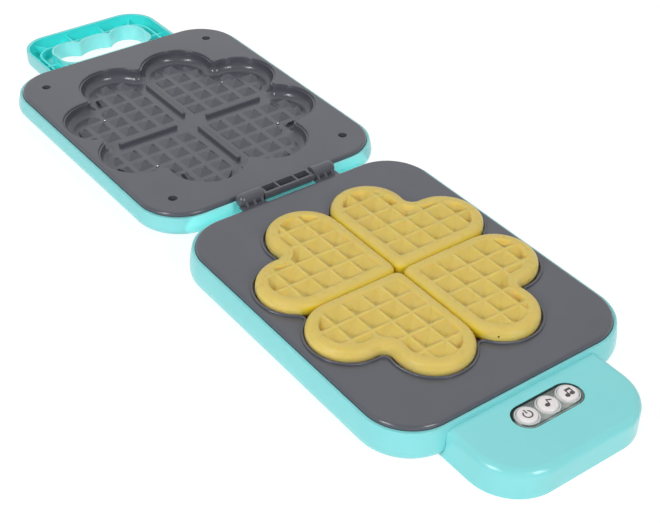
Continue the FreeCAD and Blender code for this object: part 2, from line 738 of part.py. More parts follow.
def make_button(x):
    flange_z, flange_top = BUTTON_FLANGE_Z
    cap = post(x, BUTTON_Y, BUTTON_R, flange_top - INTO, BUTTON_TOP)
    cap = fillet(cap, BUTTON_EDGE, lambda b: b.ZMin > BUTTON_TOP - PICK)
    return cap.fuse(post(x, BUTTON_Y, BUTTON_FLANGE_R, flange_z, flange_top))


def make_pad():
    """A soft sheet on the board with a dome under each button."""
    l, w, h = PAD_SIZE
    low = BOARD_Z + BOARD[2]
    sheet = prism(rounded_rect(BUTTON_X, BUTTON_Y, l, w, PAD_R, low), h)
    for x in button_columns():
        sheet = sheet.fuse(Part.makeCone(*DOME, V(x, BUTTON_Y, low + h), UP))
    return sheet


def make_board():
    l, w, h = BOARD
    chip_l, chip_w, chip_h = CHIP
    top = BOARD_Z + h
    board = prism(rounded_rect(BUTTON_X, BUTTON_Y, l, w, BOARD_R, BOARD_Z), h)
    for x in board_screw_columns():
        board = board.cut(post(x, BUTTON_Y, SCREW_R + CLEAR, BOARD_Z - PAST, top + PAST))
    x0 = BUTTON_X - chip_l / 2
    y0 = BUTTON_Y - chip_w / 2
    return board.fuse(box(x0, x0 + chip_l, y0, y0 + chip_w, BOARD_Z - chip_h, BOARD_Z))


def make_lights():
    lights = []
    low = BOARD_Z + BOARD[2]
    top = low + LIGHT_H
    for x in (BUTTON_X - BUTTON_PITCH / 2, BUTTON_X + BUTTON_PITCH / 2):
        body = post(x, LIGHT_Y, LIGHT_R, low, top)
        lights.append(fillet(body, LIGHT_ROUND, lambda b: b.ZMin > top - PICK))
    return Part.makeCompound(lights)


def make_speaker():
    x, y = SPEAKER
    low = FLOOR_Z + SPEAKER_LIFT
    rim_top = low + SPEAKER_RIM
    cone_top = rim_top + SPEAKER_CONE[2]
    magnet_r, magnet_h = SPEAKER_MAGNET
    frame = post(x, y, SPEAKER_R, low, rim_top)
    basket = Part.makeCone(*SPEAKER_CONE, V(x, y, rim_top), UP)
    return frame.fuse(basket).fuse(post(x, y, magnet_r, cone_top, cone_top + magnet_h))


def make_speaker_ring():
    x, y = SPEAKER
    rim_top = FLOOR_Z + SPEAKER_LIFT + SPEAKER_RIM
    ring = post(x, y, SPEAKER_R + RING_W, FLOOR_Z, FLOOR_Z + RING_H)
    ring = ring.cut(post(x, y, SPEAKER_R + CLEAR, FLOOR_Z - PAST, rim_top + PRESS))
    return ring.cut(post(x, y, SPEAKER_R - RING_LIP, FLOOR_Z, FLOOR_Z + RING_H + PAST))


def make_cells():
    cells = []
    for way, y in zip((1, -1), cell_rows()):
        start = V(-way * CELL_L / 2, y, CELL_Z)
        can = Part.makeCylinder(CELL_R, CELL_L - NUB_L, start, V(way, 0, 0))
        nub = Part.makeCylinder(NUB_R, NUB_L, start + V(way * (CELL_L - NUB_L), 0, 0), V(way, 0, 0))
        cells.append(can.fuse(nub))
    return Part.makeCompound(cells)


def contact_spring(side, y):
    """A folded spring leaf on a contact plate; side is +1 at the +X end of the cells."""
    z0, z1 = CONTACT_Z
    middle = (z0 + z1) / 2
    a = side * (BOX_L / 2 - CLEAR - CONTACT_T + CONTACT_LIFT)
    b = a - side * LEAF_REACH
    t = side * LEAF_T
    fold = [V(a, y, z0), V(b, y, middle), V(a, y, z1), V(a - t, y, z1), V(b - t, y, middle), V(a - t, y, z0)]
    leaf = Part.Face(polygon(fold)).extrude(V(0, LEAF_W, 0))
    leaf.translate(V(0, -LEAF_W / 2, 0))
    return leaf


def make_contacts():
    """One wide plate joins the cells at one end; two plates with solder tabs are at the other."""
    z0, z1 = CONTACT_Z
    x = BOX_L / 2 - CLEAR
    first, last = cell_rows()
    wide = box(-x, -x + CONTACT_T, first - CONTACT_HALF, last + CONTACT_HALF, z0, z1)
    plates = [wide.fuse([contact_spring(-1, first), contact_spring(-1, last)])]
    for y in (first, last):
        tab = box(x - CONTACT_T, x + BOX_WALL + TAB_L, y - TAB_HALF, y + TAB_HALF, *TAB_Z)
        small = box(x - CONTACT_T, x, y - CONTACT_HALF, y + CONTACT_HALF, z0, z1)
        plates.append(small.fuse([tab, contact_spring(1, y)]))
    return Part.makeCompound(plates)


def make_door():
    l, w, h = GRIP
    door = door_form(0, FOOT_H, FOOT_H + DOOR_T)
    door = door.cut(post(0, DOOR_SCREW_Y, SCREW_R + CLEAR, 0, FOOT_H + 2 * DOOR_T))
    sink = Part.makeCone(SINK_R + SINK_ROOM, SCREW_R, SINK_H + SINK_DROP, V(0, DOOR_SCREW_Y, FOOT_H), UP)
    grips = [sink]
    for i in range(GRIP_COUNT):
        y = BATTERY_Y - BOX_W / 2 + GRIP_FIRST + i * GRIP_PITCH
        grips.append(box(-l / 2, l / 2, y, y + w, 0, FOOT_H + h))
    return door.cut(grips)


def make_door_screw():
    y = DOOR_SCREW_Y
    seat = FOOT_H + SINK_DROP
    head = Part.makeCone(SINK_R, SCREW_R, SINK_H, V(0, y, seat), UP)
    body = head.fuse(post(0, y, SCREW_R, seat + SINK_H, DOOR_SCREW_TIP))
    return body.cut(box(-SLOT_L, SLOT_L, y - SLOT_W, y + SLOT_W, FOOT_H, seat + SLOT_H))


def make_wires(points, spacing):
    pair = []
    for shift in (0, 1):
        moved = [p + spacing * shift for p in points]
        pair.append(tube(moved, WIRE_R, WIRE_BEND))
    return Part.makeCompound(pair)


def make_feet():
    feet = []
    for x, y in foot_points():
        foot = post(x, y, FOOT_R, 0, FOOT_H + FOOT_SINK)
        feet.append(fillet(foot, FOOT_EDGE, lambda b: b.ZMax < PICK))
    return Part.makeCompound(feet)


def make_pins():
    pins = []
    for side in (-1, 1):
        x = PIN_SPAN[0] if side > 0 else -PIN_SPAN[1]
        pins.append(along_x(PIN_R, x, x + PIN_SPAN[1] - PIN_SPAN[0]))
    return Part.makeCompound(pins)


def handle_outline(inset, start, z):
    x = HANDLE_HALF - inset
    y = HANDLE_END - inset
    r = HANDLE_R - inset
    k = r * ARC_MID
    edges = [
        Part.makeLine(V(-x, start, z), V(x, start, z)),
        Part.makeLine(V(x, start, z), V(x, y - r, z)),
        Part.Arc(V(x, y - r, z), V(x - k, y - k, z), V(x - r, y, z)).toShape(),
        Part.makeLine(V(x - r, y, z), V(-x + r, y, z)),
        Part.Arc(V(-x + r, y, z), V(-x + k, y - k, z), V(-x, y - r, z)).toShape(),
        Part.makeLine(V(-x, y - r, z), V(-x, start, z)),
    ]
    return Part.Wire(edges)


def finger_hole(z):
    """The finger hole: straight near side, round ends and three finger scallops on the far side."""
    near_x = HOLE_HALF - HOLE_END
    bend_x = HOLE_HALF - HOLE_BEND[0]
    bend_y = HOLE_NEAR + HOLE_BEND[1]
    cx, cy = HOLE_CUSP
    lx, ly = HOLE_LOBE

    def p(x, y):
        return V(x, y, z)

    edges = [
        Part.makeLine(p(-near_x, HOLE_NEAR), p(near_x, HOLE_NEAR)),
        Part.Arc(p(near_x, HOLE_NEAR), p(bend_x, bend_y), p(HOLE_HALF, HOLE_SIDE)).toShape(),
        Part.Arc(p(HOLE_HALF, HOLE_SIDE), p(lx, ly), p(cx, cy)).toShape(),
        Part.Arc(p(cx, cy), p(0, HOLE_MIDDLE), p(-cx, cy)).toShape(),
        Part.Arc(p(-cx, cy), p(-lx, ly), p(-HOLE_HALF, HOLE_SIDE)).toShape(),
        Part.Arc(p(-HOLE_HALF, HOLE_SIDE), p(-bend_x, bend_y), p(-near_x, HOLE_NEAR)).toShape(),
    ]
    return Part.Wire(edges)


def at_cusp(b):
    """True for the two upright edges between the finger scallops."""
    return b.XLength < PICK and abs(abs(b.Center.x) - HOLE_CUSP[0]) < PICK


def make_handle():
    """An open channel that loops round the finger hole, stiffened by a thin inner loop and cross ribs."""
    low = LID_SEAM_Z - HANDLE_DEPTH
    body = prism(handle_outline(0, HANDLE_START, low), HANDLE_DEPTH)
    body = fillet(body, HANDLE_ROUND, lambda b: b.ZMax < low + PICK and b.YMax > HANDLE_START + PAST)
    channel = prism(handle_outline(HANDLE_WALL, HANDLE_START, low + HANDLE_FLOOR), HANDLE_DEPTH)
    ring = prism(Part.Face(finger_hole(low)).makeOffset2D(HOLE_WALL).OuterWire, HANDLE_DEPTH)
    hole = prism(finger_hole(low - PAST), HANDLE_DEPTH + 2 * PAST)
    hole = fillet(hole, CUSP_ROUND, at_cusp)
    inside = prism(handle_outline(HANDLE_WALL / 2, HANDLE_START, low + PAST), HANDLE_DEPTH)
    stiffeners = handle_ribs(low + HANDLE_FLOOR - INTO, LID_SEAM_Z - LOOP_DROP).common(inside)
    return body.cut(channel).fuse(ring).fuse(stiffeners).cut(hole)


def handle_ribs(z0, z1):
    """The thin loop outside the finger hole and the ribs that tie it to the channel's wall."""
    height = z1 - z0
    half = LOOP_RIB / 2
    loop_l = LOOP_END - HANDLE_START
    loop_y = HANDLE_START + loop_l / 2
    loop_w = 2 * (HOLE_HALF + LOOP_OUT)
    loop = rounded_rect(0, loop_y, loop_w, loop_l, LOOP_R, z0)
    inner = rounded_rect(0, loop_y, loop_w - 2 * LOOP_RIB, loop_l - 2 * LOOP_RIB, LOOP_R - LOOP_RIB, z0)
    ribs = []
    slant_x, slant_l, slant = SLANT_RIB
    for side in (-1, 1):
        x = side * HOLE_CUSP[0]
        ribs.append(box(x - half, x + half, HOLE_CUSP[1] + PAST, HANDLE_END - PAST, z0, z1))
        rib = box(-half, half, 0, slant_l, z0, z1)
        rib.rotate(V(0, 0, 0), UP, -side * slant)
        rib.translate(V(side * slant_x, LOOP_END - LOOP_RIB, 0))
        ribs.append(rib)
        x0, x1 = sorted((side * (HOLE_HALF + HOLE_WALL / 2), side * (HANDLE_HALF - PAST)))
        ribs.append(box(x0, x1, SIDE_RIB_Y, SIDE_RIB_Y + LOOP_RIB, z0, z1))
    return prism(loop, height).cut(prism(inner, height)).fuse(ribs)


def make_lid_shell():
    outside = shell_form(PLATE_Y, LID_SEAM_Z, LID_OUTSIDE)
    hollow = shell_form(PLATE_Y, LID_SEAM_Z, LID_INSIDE)
    body = outside.fuse(make_handle()).cut(hollow)
    for x, y in corner_points(PLATE_Y):
        boss = post(x, y, LID_BOSS_R, 0, LID_SCREW_SEAT - WELL_FLOOR - COVER_GAP).common(outside)
        bore = post(x, y, SCREW_R + PRESS, LID_SEAM_Z - LID_BOSS_BORE, LID_SCREW_SEAT)
        body = body.fuse(boss).cut(bore)
    return max(body.removeSplitter().Solids, key=lambda s: s.Volume)


def make_waffle():
    """The waffle of the +X +Y quarter of the base."""
    cy = -PLATE_Y
    low = SEAM_Z + PLATE_RISE - BASE_POCKET + WAFFLE_SEAT
    top = SEAM_Z + WAFFLE_TOP
    body = prism(heart_wire(cy, low, 0), top - low)
    body = fillet(body, WAFFLE_ROUND, lambda b: b.ZMin > top - PICK)
    body = fillet(body, WAFFLE_FOOT, lambda b: b.ZMax < low + PICK)
    inside = prism(heart_wire(cy, low, WAFFLE_RIM), 2 * WAFFLE_TOP)
    pits = grid(cy, top + PIT_LIFT, PIT_W + PIT_FLARE, PIT_FLOOR, -PIT_DEPTH - PIT_LIFT).common(inside)
    return body.cut(pits)


def tilted(shape):
    """A lid piece as it lies when open, its far end a little lower."""
    turned = shape.copy()
    turned.rotate(V(0, 0, AXIS_Z), ALONG_X, -LID_TILT)
    return turned


def lid_screws():
    screws = [screw(x, y, LID_SCREW_SEAT, SCREW_HEAD_H, LID_SCREW_L, -1) for x, y in corner_points(PLATE_Y)]
    return Part.makeCompound(screws)


def base_screws():
    screws = [screw(x, y, BASE_SCREW_SEAT, SCREW_HEAD_H, BASE_SCREW_L, 1) for x, y in corner_points(-PLATE_Y)]
    return Part.makeCompound(screws)


def cover_screws():
    screws = [screw(x, y, COVER_SCREW_SEAT, SCREW_HEAD_H, COVER_SCREW_L, 1) for x, y in cover_screw_points()]
    return Part.makeCompound(screws)


def board_screws():
    seat = BOARD_Z + BOARD[2]
    screws = [screw(x, BUTTON_Y, seat, BOARD_HEAD_H, BOARD_SCREW_L, -1) for x in board_screw_columns()]
    return Part.makeCompound(screws)


def main():
    os.makedirs("parts", exist_ok=True)
    cell_tab = V(BOX_L / 2 + BOX_WALL + TAB_L + INTO, cell_rows()[0], WIRE_Z)
    battery_x, gate_y, turn_y = BATTERY_ROUTE
    board_end = V(battery_x, BUTTON_Y + 3, WIRE_Z)
    battery_route = [board_end, V(battery_x, gate_y, WIRE_Z), V(cell_tab.x, turn_y, WIRE_Z), cell_tab]
    speaker_end = V(SPEAKER[0] - SPEAKER_R - RING_W - WIRE_GAP, SPEAKER[1], WIRE_Z)
    speaker_start = V(SPEAKER_WIRE_X, BUTTON_Y + 2, WIRE_Z)
    speaker_route = [speaker_start, V(SPEAKER_WIRE_X, SPEAKER[1], WIRE_Z), speaker_end]
    buttons = button_columns()
    waffles = quarters(make_waffle(), -PLATE_Y)
    parts = {
        "base_shell": make_base_shell(),
        "base_plate": make_base_plate(),
        "base_plate_screws": base_screws(),
        "control_cover": make_control_cover(),
        "control_cover_screws": cover_screws(),
        "button_window": make_window(),
        "power_button": make_button(buttons[0]),
        "note_button": make_button(buttons[1]),
        "melody_button": make_button(buttons[2]),
        "button_pad": make_pad(),
        "circuit_board": make_board(),
        "board_screws": board_screws(),
        "indicator_lights": make_lights(),
        "speaker": make_speaker(),
        "speaker_ring": make_speaker_ring(),
        "speaker_wires": make_wires(speaker_route, V(-1, -1, 0) * WIRE_PITCH[1]),
        "battery_cells": make_cells(),
        "battery_contacts": make_contacts(),
        "battery_door": make_door(),
        "battery_door_screw": make_door_screw(),
        "battery_wires": make_wires(battery_route, V(1, 1, 0) * WIRE_PITCH[0]),
        "rubber_feet": make_feet(),
        "hinge_pins": make_pins(),
        "lid_shell": tilted(make_lid_shell()),
        "lid_plate": tilted(make_lid_plate()),
        "lid_plate_screws": tilted(lid_screws()),
        "waffle_rear_right": waffles[0],
        "waffle_rear_left": waffles[1],
        "waffle_front_right": waffles[2],
        "waffle_front_left": waffles[3],
    }
    for name, shape in parts.items():
        volume = round(shape.Volume / 1000, 2)
        print(name, len(shape.Solids), "solids, valid:", shape.isValid(), volume, "cm3")
        shape.exportStep("parts/" + name + ".step")


main()
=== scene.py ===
import json
import math

import bpy
from mathutils import Matrix, Vector

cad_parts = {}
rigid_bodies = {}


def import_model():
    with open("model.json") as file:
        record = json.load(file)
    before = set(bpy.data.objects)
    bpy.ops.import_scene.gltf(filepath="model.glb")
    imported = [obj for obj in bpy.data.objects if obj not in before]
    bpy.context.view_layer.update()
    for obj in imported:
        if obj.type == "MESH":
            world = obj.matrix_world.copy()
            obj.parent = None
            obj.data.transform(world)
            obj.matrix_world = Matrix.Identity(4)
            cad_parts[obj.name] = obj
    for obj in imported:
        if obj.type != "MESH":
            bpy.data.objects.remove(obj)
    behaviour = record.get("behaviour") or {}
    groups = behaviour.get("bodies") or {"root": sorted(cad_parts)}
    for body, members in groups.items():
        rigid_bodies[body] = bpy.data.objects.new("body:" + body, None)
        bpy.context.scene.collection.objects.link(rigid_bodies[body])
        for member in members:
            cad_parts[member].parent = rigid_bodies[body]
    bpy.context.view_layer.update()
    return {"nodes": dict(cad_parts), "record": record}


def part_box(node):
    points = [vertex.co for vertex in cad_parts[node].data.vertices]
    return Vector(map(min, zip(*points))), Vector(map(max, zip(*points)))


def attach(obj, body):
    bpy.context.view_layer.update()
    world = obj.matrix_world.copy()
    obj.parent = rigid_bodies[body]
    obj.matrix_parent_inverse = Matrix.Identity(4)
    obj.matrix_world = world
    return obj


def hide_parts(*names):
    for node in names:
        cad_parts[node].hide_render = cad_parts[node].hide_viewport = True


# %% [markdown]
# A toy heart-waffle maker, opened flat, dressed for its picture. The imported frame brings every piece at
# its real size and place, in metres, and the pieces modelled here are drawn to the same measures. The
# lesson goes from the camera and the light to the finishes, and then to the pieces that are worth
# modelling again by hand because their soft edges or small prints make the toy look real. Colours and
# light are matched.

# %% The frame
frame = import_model()
nodes = frame["nodes"]
MM = 0.001

# %% [markdown]
# The camera. The picture was taken from the front left, about two fifths of the way up to
# straight overhead, and the horizon leans by two degrees. A camera can be aimed with a
# constraint, but a lean needs a roll as well, so its three axes are worked out and written into
# its matrix.

# %% Camera
AZIMUTH = math.radians(-37.85)
ELEVATION = math.radians(37.2)
ROLL = math.radians(2.04)
DISTANCE = 745.8 * MM
TARGET = Vector((-20.98, -72.42, 20.0)) * MM
LENS = 73.16
SENSOR = 36.0

back = Vector((
    math.sin(AZIMUTH) * math.cos(ELEVATION),
    -math.cos(AZIMUTH) * math.cos(ELEVATION),
    math.sin(ELEVATION),
))
level = Vector((math.cos(AZIMUTH), math.sin(AZIMUTH), 0))
upright = back.cross(level)
right = level * math.cos(ROLL) + upright * math.sin(ROLL)
up = upright * math.cos(ROLL) - level * math.sin(ROLL)

bpy.ops.object.camera_add()
camera = bpy.context.object
camera.name = "photo_camera"
camera.data.lens = LENS
camera.data.sensor_width = SENSOR
camera.data.sensor_fit = "HORIZONTAL"
axes = Matrix((right, up, back)).transposed().to_4x4()
camera.matrix_world = Matrix.Translation(TARGET + back * DISTANCE) @ axes
bpy.context.scene.camera = camera
print("camera at", [round(c, 3) for c in camera.matrix_world.translation])

# %% [markdown]
# The room. A product picture like this one is taken on a white sweep, with white behind and a
# darker studio on the camera's side. Flat tops mirror the white, faces that lean to the camera
# mirror the darker side, and that difference is what draws the ribs and studs of the dark plates.
# So the world has three answers: plain white for the eye, a white-to-grey turn for reflections,
# and an even fill for everything else. The light path says which ray is asking.

# %% Room
bpy.context.scene.view_settings.view_transform = "Standard"
ROOM_FILL = 0.22
ROOM_WHITE = 1.0
STUDIO_GREY = 0.35
AWAY = (0.61, 0.79, 0.0)
TURN = (-0.25, 0.35)


def either(tree, first, second):
    larger = tree.nodes.new("ShaderNodeMath")
    larger.operation = "MAXIMUM"
    tree.links.new(first, larger.inputs[0])
    tree.links.new(second, larger.inputs[1])
    return larger.outputs[0]


def blend(tree, factor, first, second):
    mix = tree.nodes.new("ShaderNodeMixShader")
    tree.links.new(factor, mix.inputs["Fac"])
    tree.links.new(first, mix.inputs[1])
    tree.links.new(second, mix.inputs[2])
    return mix.outputs[0]


def light_of(tree, strength):
    source = tree.nodes.new("ShaderNodeBackground")
    source.inputs["Color"].default_value = (1, 1, 1, 1)
    source.inputs["Strength"].default_value = strength
    return source


world = bpy.data.worlds.new("white_room")
bpy.context.scene.world = world
world.use_nodes = True
room = world.node_tree
path = room.nodes.new("ShaderNodeLightPath")
place = room.nodes.new("ShaderNodeTexCoord")
facing = room.nodes.new("ShaderNodeVectorMath")
facing.operation = "DOT_PRODUCT"
facing.inputs[1].default_value = AWAY
room.links.new(place.outputs["Generated"], facing.inputs[0])
turn = room.nodes.new("ShaderNodeMapRange")
turn.interpolation_type = "SMOOTHSTEP"
turn.inputs["From Min"].default_value = TURN[0]
turn.inputs["From Max"].default_value = TURN[1]
turn.inputs["To Min"].default_value = STUDIO_GREY
turn.inputs["To Max"].default_value = ROOM_WHITE
room.links.new(facing.outputs["Value"], turn.inputs["Value"])
fill = light_of(room, ROOM_FILL)
white = light_of(room, ROOM_WHITE)
mirrored = light_of(room, ROOM_WHITE)
room.links.new(turn.outputs["Result"], mirrored.inputs["Strength"])
seen = either(room, path.outputs["Is Camera Ray"], path.outputs["Is Transmission Ray"])
lit = blend(room, path.outputs["Is Glossy Ray"], fill.outputs[0], mirrored.outputs[0])
answer = blend(room, seen, lit, white.outputs[0])
room.links.new(answer, room.nodes["World Output"].inputs["Surface"])
print("room:", len(room.nodes), "nodes")

# %% [markdown]
# The lamps. Along every rounded front edge of the picture there are two short streaks, so two
# tall softboxes stood to the left and to the front. A weaker one high behind the toy keeps the
# far edges from going dull.

# %% Lamps
MIDDLE = Vector((0, 0, 0.02))
LAMP_AWAY = 1.7
TALL = (0.4, 0.7)
SQUARE = (1.0, 1.0)


def softbox(name, azimuth, elevation, size, watts):
    """An area lamp aimed at the toy; azimuth is measured from the front, positive to the right."""
    a = math.radians(azimuth)
    e = math.radians(elevation)
    towards = Vector((math.sin(a) * math.cos(e), -math.cos(a) * math.cos(e), math.sin(e)))
    place = MIDDLE + LAMP_AWAY * towards
    bpy.ops.object.light_add(type="AREA", location=place)
    lamp = bpy.context.object
    lamp.name = name
    lamp.data.shape = "RECTANGLE"
    lamp.data.size = size[0]
    lamp.data.size_y = size[1]
    lamp.data.energy = watts
    lamp.rotation_euler = (MIDDLE - place).to_track_quat("-Z", "Y").to_euler()
    return lamp


lamps = [
    softbox("left_softbox", -77, 35, TALL, 13),
    softbox("front_softbox", 5, 35, TALL, 10),
    softbox("rear_softbox", 150, 45, SQUARE, 7),
]
lamps[-1].visible_glossy = False
print("lamps:", len(lamps))

# %% [markdown]
# The floor. A white sweep with no horizon. Its diffuse part catches the soft shadow under the toy,
# and a little glow carries it up to white where it is looked at. The light it sends up to the
# toy's walls is set apart, because a sweep is lit harder than the toy on it.

# %% Floor
FLOOR_SIZE = 8.0
FLOOR_GLOW = 0.85
FLOOR_SHADE = 0.25
FLOOR_BOUNCE = 0.8
FLOOR_LIFT = 0.3


def dull(tree, level):
    surface = tree.nodes.new("ShaderNodeBsdfDiffuse")
    surface.inputs["Color"].default_value = (level, level, level, 1)
    return surface


def glowing(tree, surface, strength):
    glow = tree.nodes.new("ShaderNodeEmission")
    glow.inputs["Strength"].default_value = strength
    both = tree.nodes.new("ShaderNodeAddShader")
    tree.links.new(surface.outputs[0], both.inputs[0])
    tree.links.new(glow.outputs[0], both.inputs[1])
    return both.outputs[0]


bpy.ops.object.select_all(action="DESELECT")
bpy.ops.mesh.primitive_plane_add(size=FLOOR_SIZE)
floor = bpy.context.object
floor.name = "studio_floor"
sweep = bpy.data.materials.new("white_sweep")
sweep.use_nodes = True
tree = sweep.node_tree
tree.nodes.remove(tree.nodes["Principled BSDF"])
path = tree.nodes.new("ShaderNodeLightPath")
seen = either(tree, path.outputs["Is Camera Ray"], path.outputs["Is Transmission Ray"])
seen = either(tree, seen, path.outputs["Is Glossy Ray"])
sent = glowing(tree, dull(tree, FLOOR_BOUNCE), FLOOR_LIFT)
shown = glowing(tree, dull(tree, FLOOR_SHADE), FLOOR_GLOW)
tree.links.new(blend(tree, seen, sent, shown), tree.nodes["Material Output"].inputs["Surface"])
floor.data.materials.append(sweep)
print("floor:", floor.name)

# %% [markdown]
# Finishes. Moulded plastic is never one flat colour: pigment drifts a little through the part,
# the polish of the mould varies, and the skin carries a faint grain. Each finish is a Principled
# shader with those three things from noise on Object coordinates, at sizes given in millimetres.

# %% Moulded plastic
NOISE_SPAN = (0.3, 0.7)
GRAIN_SHARE = 0.5


def cloud(tree, size_mm, detail):
    """Soft noise whose blotches are about size_mm across."""
    place = tree.nodes.new("ShaderNodeTexCoord")
    noise = tree.nodes.new("ShaderNodeTexNoise")
    noise.inputs["Scale"].default_value = 1 / (size_mm * MM)
    noise.inputs["Detail"].default_value = detail
    tree.links.new(place.outputs["Object"], noise.inputs["Vector"])
    return noise.outputs["Fac"]


def drift_colour(tree, shader, factor, dark, light):
    ramp = tree.nodes.new("ShaderNodeValToRGB")
    for stop, position, colour in zip(ramp.color_ramp.elements, NOISE_SPAN, (dark, light)):
        stop.position = position
        stop.color = (*colour, 1)
    tree.links.new(factor, ramp.inputs["Fac"])
    tree.links.new(ramp.outputs["Color"], shader.inputs["Base Color"])


def drift_gloss(tree, shader, factor, low, high):
    scale = tree.nodes.new("ShaderNodeMapRange")
    scale.inputs["From Min"].default_value = NOISE_SPAN[0]
    scale.inputs["From Max"].default_value = NOISE_SPAN[1]
    scale.inputs["To Min"].default_value = low
    scale.inputs["To Max"].default_value = high
    tree.links.new(factor, scale.inputs["Value"])
    tree.links.new(scale.outputs["Result"], shader.inputs["Roughness"])


def grain(tree, shader, factor, depth_mm):
    bump = tree.nodes.new("ShaderNodeBump")
    bump.inputs["Distance"].default_value = depth_mm * MM
    bump.inputs["Strength"].default_value = GRAIN_SHARE
    tree.links.new(factor, bump.inputs["Height"])
    tree.links.new(bump.outputs["Normal"], shader.inputs["Normal"])


def shader_of(finish):
    return finish.node_tree.nodes["Principled BSDF"]


def moulded(name, dark, light, drift_mm, gloss, grain_mm, grain_depth_mm):
    """A finish that drifts from dark to light and between two roughnesses, with a fine grain."""
    finish = bpy.data.materials.new(name)
    finish.use_nodes = True
    tree = finish.node_tree
    shader = shader_of(finish)
    drift_colour(tree, shader, cloud(tree, drift_mm, 3), dark, light)
    drift_gloss(tree, shader, cloud(tree, drift_mm / 3, 2), *gloss)
    grain(tree, shader, cloud(tree, grain_mm, 4), grain_depth_mm)
    return finish


aqua = moulded("aqua_plastic", (0.235, 0.72, 0.735), (0.255, 0.74, 0.755), 40, (0.2, 0.27), 1.2, 0.01)
print("first finish:", aqua.name, "with", len(aqua.node_tree.nodes), "nodes")

# %% [markdown]
# The toy's other finishes. The dark plates and white caps are hard plastic like the shells. The
# waffles are soft vinyl, which light enters, so they scatter it under the skin and shine less. The
# inside pieces, mostly hidden, get plain finishes of the same kind, and the metals turn metallic.

# %% All finishes
VINYL_SHINE = 0.25
VINYL_SCATTER = 0.8
VINYL_DEPTH = 6
VINYL_REACH = (1.0, 0.7, 0.2)

grey = moulded("grey_plastic", (0.094, 0.098, 0.118), (0.104, 0.108, 0.129), 30, (0.19, 0.25), 0.5, 0.006)
waffle = moulded("waffle_plastic", (0.72, 0.56, 0.155), (0.75, 0.585, 0.17), 14, (0.26, 0.34), 0.8, 0.02)
vinyl = shader_of(waffle).inputs
vinyl["Specular IOR Level"].default_value = VINYL_SHINE
vinyl["Subsurface Weight"].default_value = VINYL_SCATTER
vinyl["Subsurface Scale"].default_value = VINYL_DEPTH * MM
vinyl["Subsurface Radius"].default_value = VINYL_REACH
white_cap = moulded("white_plastic", (0.84, 0.79, 0.79), (0.88, 0.83, 0.83), 5, (0.28, 0.36), 0.4, 0.01)
clear = moulded("clear_plastic", (0.6, 0.66, 0.63), (0.66, 0.71, 0.68), 10, (0.04, 0.08), 0.8, 0.005)
silicone = moulded("silicone", (0.74, 0.74, 0.7), (0.8, 0.8, 0.76), 4, (0.55, 0.65), 0.3, 0.02)
board = moulded("board", (0.025, 0.14, 0.06), (0.035, 0.18, 0.08), 3, (0.25, 0.4), 0.3, 0.02)
lens = moulded("light_lens", (0.82, 0.78, 0.68), (0.88, 0.83, 0.74), 2, (0.1, 0.2), 0.3, 0.01)
cone = moulded("speaker_body", (0.04, 0.04, 0.045), (0.06, 0.06, 0.065), 3, (0.5, 0.7), 0.3, 0.03)
black = moulded("black_plastic", (0.035, 0.035, 0.04), (0.05, 0.05, 0.055), 6, (0.35, 0.5), 0.4, 0.02)
wire = moulded("wire", (0.36, 0.04, 0.035), (0.44, 0.06, 0.045), 5, (0.35, 0.5), 0.3, 0.01)
can = moulded("cell_can", (0.09, 0.11, 0.15), (0.12, 0.14, 0.18), 9, (0.25, 0.35), 0.4, 0.01)
rubber = moulded("rubber", (0.05, 0.05, 0.054), (0.07, 0.07, 0.075), 4, (0.7, 0.85), 0.4, 0.04)
steel = moulded("steel", (0.5, 0.5, 0.51), (0.6, 0.6, 0.61), 2, (0.25, 0.4), 0.2, 0.01)
nickel = moulded("nickel", (0.58, 0.56, 0.52), (0.66, 0.64, 0.6), 3, (0.2, 0.35), 0.2, 0.01)
for metal in (steel, nickel):
    shader_of(metal).inputs["Metallic"].default_value = 1.0

finishes = {
    "aqua_plastic": aqua, "grey_plastic": grey, "waffle_plastic": waffle, "white_plastic": white_cap,
    "clear_plastic": clear, "silicone": silicone, "board": board, "light_lens": lens,
    "speaker_body": cone, "black_plastic": black, "wire": wire, "cell_can": can, "rubber": rubber,
    "steel": steel, "nickel": nickel,
}
for row in frame["record"]["subparts"]:
    piece = nodes[row["node"]]
    piece.data.materials.clear()
    piece.data.materials.append(finishes[row["material_slot"]])
print("finishes:", len(finishes))

# %% [markdown]
# Colour by place. Some finishes below change from one part of a piece to another. A painted map
# could hold that, but it needs an unwrapped mesh. Instead a few arithmetic nodes measure where on
# the piece the shader is, in Object coordinates, and turn that into a share of a second colour.

# %% Colour by place


def number(tree, operation, first, second):
    """One arithmetic node; each side is a plain number or another node's output."""
    node = tree.nodes.new("ShaderNodeMath")
    node.operation = operation
    for socket, side in zip(node.inputs, (first, second)):
        if isinstance(side, (int, float)):
            socket.default_value = side
        else:
            tree.links.new(side, socket)
    return node.outputs[0]


def ramp_up(tree, value, low, high):
    scale = tree.nodes.new("ShaderNodeMapRange")
    scale.interpolation_type = "SMOOTHSTEP"
    scale.inputs["From Min"].default_value = low
    scale.inputs["From Max"].default_value = high
    tree.links.new(value, scale.inputs["Value"])
    return scale.outputs["Result"]


def deepen(finish, share, colour):
    """Mix a second colour over the base colour by a share from 0 to 1."""
    tree = finish.node_tree
    shader = shader_of(finish)
    mix = tree.nodes.new("ShaderNodeMix")
    mix.data_type = "RGBA"
    tree.links.new(share, mix.inputs["Factor"])
    tree.links.new(shader.inputs["Base Color"].links[0].from_socket, mix.inputs["A"])
    mix.inputs["B"].default_value = (*colour, 1)
    tree.links.new(mix.outputs["Result"], shader.inputs["Base Color"])


